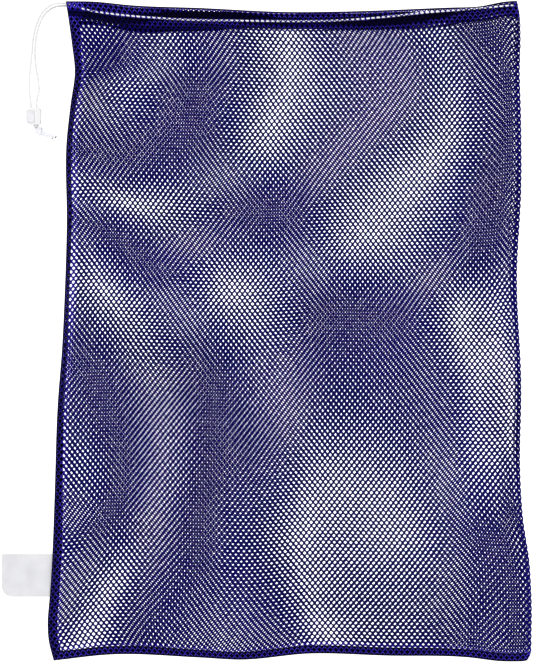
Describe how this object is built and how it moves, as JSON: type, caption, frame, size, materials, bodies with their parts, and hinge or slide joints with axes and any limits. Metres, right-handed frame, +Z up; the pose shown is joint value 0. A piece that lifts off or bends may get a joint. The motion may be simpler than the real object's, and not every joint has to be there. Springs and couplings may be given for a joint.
{
  "type": "mesh laundry bag",
  "caption": "Flat knitted-mesh laundry bag with a turned-over hem, white drawcord, spring cord lock and a blank side label.",
  "frame": {"origin": "on the floor, under the middle of the box that holds the bag and its label", "axes": "+X from the sewn side to the folded side, +Y from the foot to the mouth, +Z up from the floor the bag lies on"},
  "size_m": [0.7036, 0.8778, 0.017],
  "materials": {
    "mesh": "open warp-knit polyester, satin lustre",
    "thread": "polyester sewing thread",
    "label_satin": "satin",
    "cord": "braided polyester, matte",
    "lock_plastic": "moulded, semi-gloss",
    "spring_steel": "drawn wire"
  },
  "bodies": {
    "bag": {"mesh_body": "mesh", "hem_front": "mesh", "hem_back": "mesh", "hem_fold": "mesh", "side_seam": "mesh", "bottom_seam": "mesh", "hem_stitch_front": "thread", "hem_stitch_back": "thread", "side_seam_stitch": "thread", "bottom_seam_stitch": "thread", "drawcord": "cord", "cord_strand_front": "cord", "cord_strand_back": "cord", "cord_knot": "cord", "cord_tail_front": "cord", "cord_tail_back": "cord"},
    "cord_lock": {"cord_lock_body": "lock_plastic", "cord_lock_spring": "spring_steel"},
    "lock_button": {"cord_lock_button": "lock_plastic"},
    "label": {"label": "label_satin"}
  },
  "joints": [
    {"name": "lock_slide", "type": "slide", "parent": "bag", "child": "cord_lock", "axis": [0, 1, 0], "range_m": [0, 0.1], "deforming": ["cord_strand_front", "cord_strand_back"]},
    {"name": "button_press", "type": "slide", "parent": "cord_lock", "child": "lock_button", "axis": [0, 0, -1], "range_m": [0, 0.0016], "stiffness_N_per_m": 250, "springref_m": -0.003, "deforming": ["cord_lock_spring"]},
    {"name": "label_flap", "type": "hinge", "parent": "bag", "child": "label", "pos_m": [-0.2848, -0.325, 0.0008], "axis": [0, 1, 0], "range_deg": [0, 100]}
  ]
}
